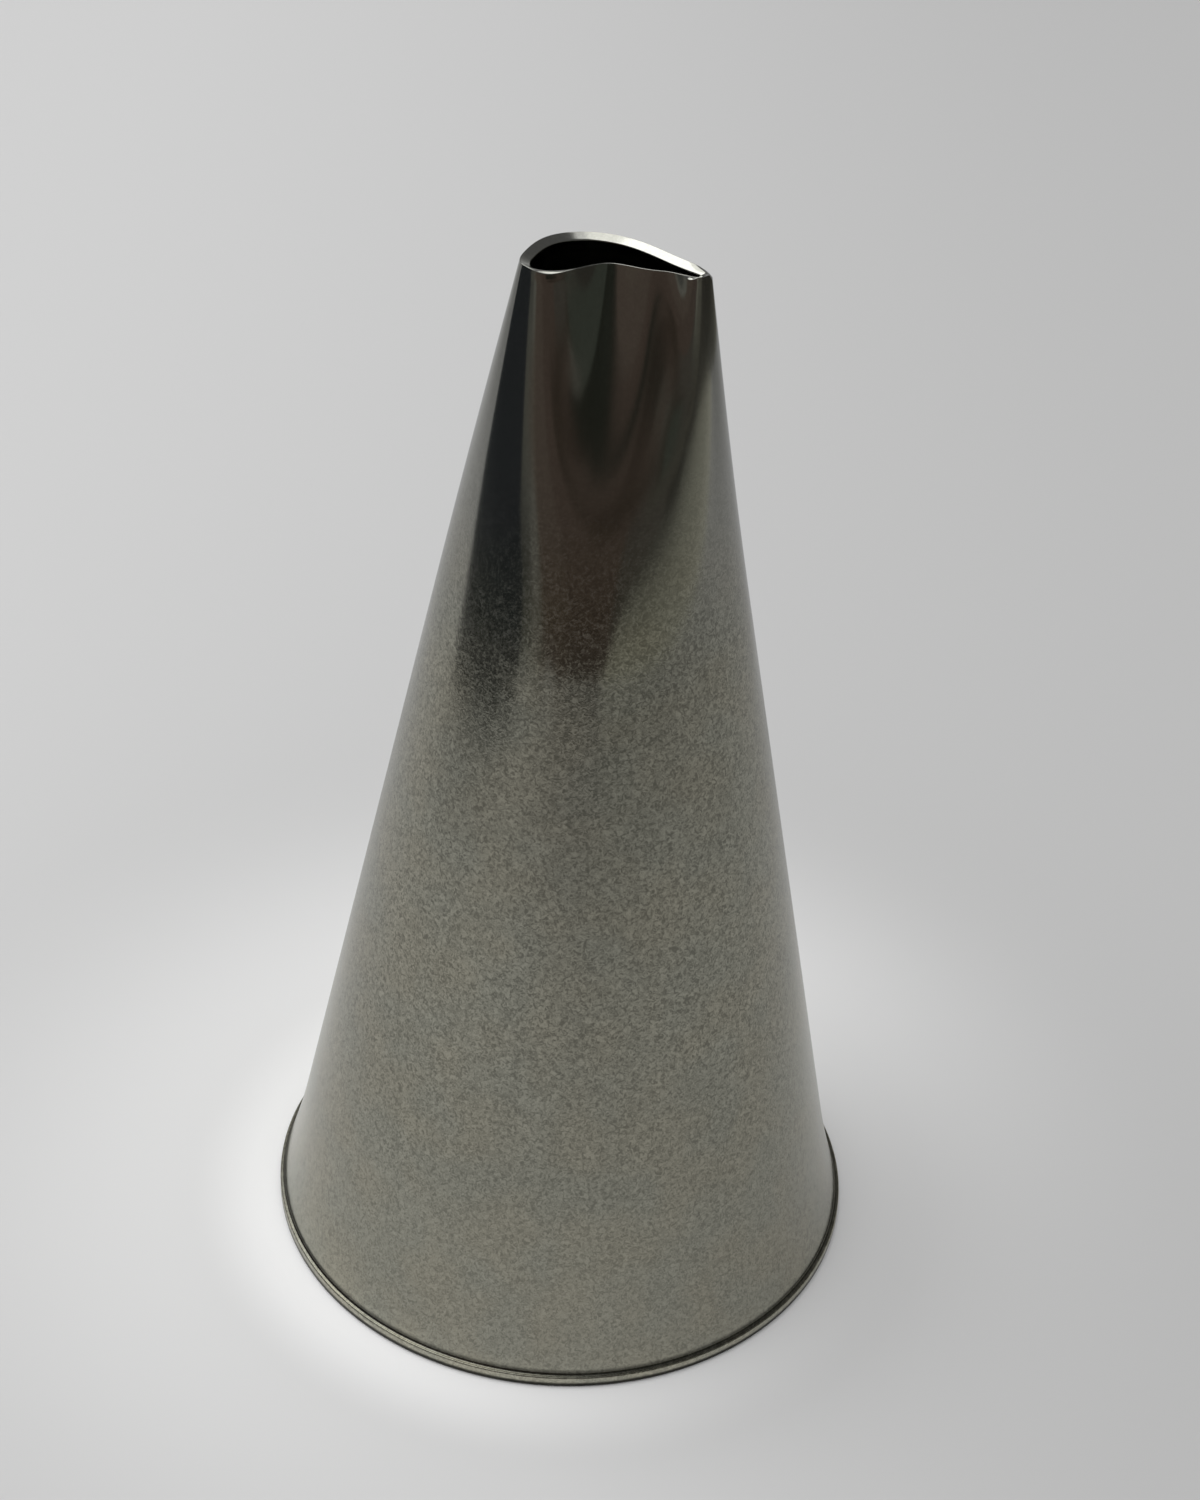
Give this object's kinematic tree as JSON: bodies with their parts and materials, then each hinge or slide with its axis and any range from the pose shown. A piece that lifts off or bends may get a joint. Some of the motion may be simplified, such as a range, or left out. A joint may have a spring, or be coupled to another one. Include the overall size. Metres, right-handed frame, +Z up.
{
  "type": "piping nozzle",
  "caption": "Conical stainless-steel piping nozzle with a trimmed rim at its wide end and a curved, tapering slit pressed into its narrow end.",
  "frame": {"origin": "middle of the rim at the wide end, on the surface that the nozzle stands on", "axes": "+Z up the nozzle's axis to the outlet, +X to the narrow end of the slit, -Y to the hollow side of its curve"},
  "size_m": [0.018, 0.018, 0.033],
  "materials": {
    "steel": "fine matt drawn steel with a slight grain on the cone, polished bright at the pressed tip"
  },
  "bodies": {
    "root": {"nozzle_shell": "steel"}
  },
  "joints": []
}
